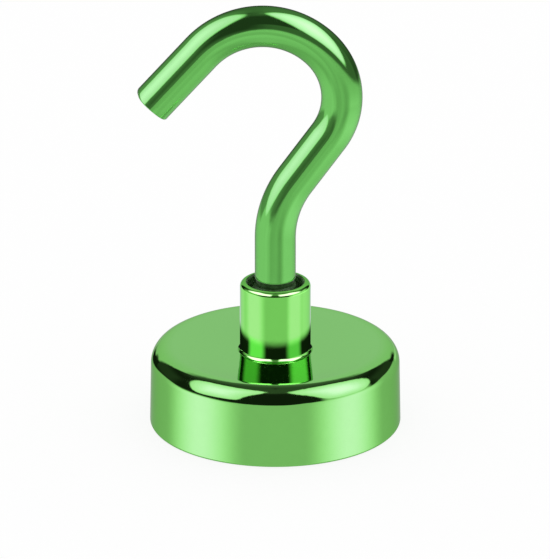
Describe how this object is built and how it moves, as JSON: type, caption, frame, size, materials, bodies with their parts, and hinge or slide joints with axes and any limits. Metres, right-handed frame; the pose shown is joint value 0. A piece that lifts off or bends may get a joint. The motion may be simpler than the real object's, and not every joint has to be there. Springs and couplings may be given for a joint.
{
  "type": "magnetic hook",
  "caption": "Small green pot-magnet hook: a round steel cup holds a disc magnet, and a bent wire hook screws into the short threaded neck on top.",
  "frame": {"origin": "centre of the magnet's face, in the plane of the cup's rim", "axes": "+Z along the axis of the cup, the neck and the hook's thread, away from the magnet's face; the hook bends in the XZ plane and opens towards -X"},
  "size_m": [0.0169, 0.016, 0.0278],
  "materials": {
    "green_plate": "polished green metallic plating",
    "magnet_nickel": "satin nickel plating",
    "potting_resin": "cast, slightly glossy",
    "adhesive": "cured glue"
  },
  "bodies": {
    "base": {"steel_cup": "green_plate", "threaded_neck": "green_plate", "magnet_disc": "magnet_nickel", "resin_ring": "potting_resin", "adhesive_layer": "adhesive"},
    "hook": {"screw_hook": "green_plate"}
  },
  "joints": [
    {"name": "hook_turn", "type": "hinge", "parent": "base", "child": "hook", "pos_m": [0, 0, 0.0094], "axis": [0, 0, 1], "range_deg": [0, 270]}
  ]
}
